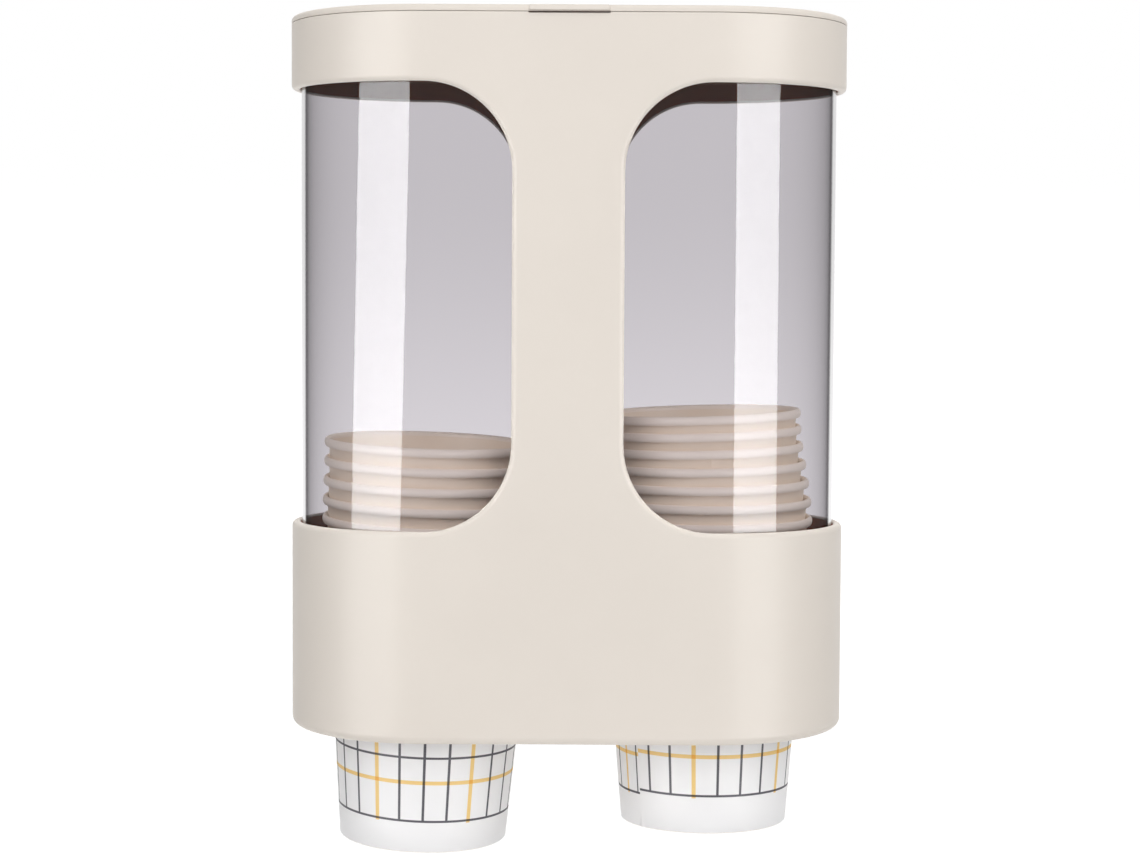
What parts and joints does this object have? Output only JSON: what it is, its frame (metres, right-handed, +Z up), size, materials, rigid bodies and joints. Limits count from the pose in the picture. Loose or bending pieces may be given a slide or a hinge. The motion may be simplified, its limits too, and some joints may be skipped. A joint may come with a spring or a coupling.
{
  "type": "cup dispenser",
  "caption": "Wall-hung paper cup dispenser with side-by-side cup stacks in a smoked oval tube, framed by cream shells, with a hinged lid and finger gaskets.",
  "frame": {"origin": "centre of the wall pad's rear face, on the wall plane", "axes": "+Z up, +Y into the wall, so the front faces -Y, and +X to the right seen from the front"},
  "size_m": [0.2, 0.1089, 0.2982],
  "materials": {
    "cream_shell": "satin cream moulded plastic",
    "smoked_tube": "clear smoke-tinted polished plastic",
    "inner_plastic": "dark brown moulded plastic",
    "silicone": "soft translucent silicone",
    "cup_paper": "coated paper with a printed check of grey and yellow lines",
    "screw_steel": "plain zinc-plated steel",
    "pad_foam": "foam mounting tape"
  },
  "bodies": {
    "wall": {"wall_pad": "pad_foam", "wall_bracket": "cream_shell"},
    "housing": {"front_shell": "cream_shell", "rear_shell": "cream_shell", "bottom_cover": "cream_shell", "cup_tube": "smoked_tube", "cup_deck": "inner_plastic", "clamp_plate": "inner_plastic", "mouth_frame": "inner_plastic", "retainer_gasket_left": "silicone", "retainer_gasket_right": "silicone", "shell_screw_1": "screw_steel", "shell_screw_2": "screw_steel", "shell_screw_3": "screw_steel", "clamp_screw_1": "screw_steel", "clamp_screw_2": "screw_steel", "clamp_screw_3": "screw_steel", "cover_screw_1": "screw_steel", "cover_screw_2": "screw_steel", "cover_screw_3": "screw_steel", "cover_screw_4": "screw_steel", "hinge_pin_left": "screw_steel", "hinge_pin_right": "screw_steel"},
    "lid_leaf": {"lid": "cream_shell"},
    "left_lowest_cup": {"cup_left_01": "cup_paper"},
    "left_stack": {"cup_left_02": "cup_paper", "cup_left_03": "cup_paper", "cup_left_04": "cup_paper", "cup_left_05": "cup_paper", "cup_left_06": "cup_paper", "cup_left_07": "cup_paper", "cup_left_08": "cup_paper", "cup_left_09": "cup_paper", "cup_left_10": "cup_paper"},
    "right_lowest_cup": {"cup_right_01": "cup_paper"},
    "right_stack": {"cup_right_02": "cup_paper", "cup_right_03": "cup_paper", "cup_right_04": "cup_paper", "cup_right_05": "cup_paper", "cup_right_06": "cup_paper", "cup_right_07": "cup_paper", "cup_right_08": "cup_paper", "cup_right_09": "cup_paper", "cup_right_10": "cup_paper", "cup_right_11": "cup_paper"}
  },
  "joints": [
    {"name": "housing_lift", "type": "slide", "parent": "wall", "child": "housing", "axis": [0, 0, 1], "range_m": [0, 0.045]},
    {"name": "lid_hinge", "type": "hinge", "parent": "housing", "child": "lid_leaf", "pos_m": [0, -0.008, 0.11265], "axis": [-1, 0, 0], "range_deg": [0, 93]},
    {"name": "left_cup_pull", "type": "slide", "parent": "housing", "child": "left_lowest_cup", "axis": [0, 0, -1], "range_m": [0, 0.09]},
    {"name": "right_cup_pull", "type": "slide", "parent": "housing", "child": "right_lowest_cup", "axis": [0, 0, -1], "range_m": [0, 0.09], "deforming": ["retainer_gasket_right"]},
    {"name": "left_stack_lift", "type": "slide", "parent": "housing", "child": "left_stack", "axis": [0, 0, 1], "range_m": [0, 0.148]},
    {"name": "right_stack_lift", "type": "slide", "parent": "housing", "child": "right_stack", "axis": [0, 0, 1], "range_m": [0, 0.136]}
  ]
}
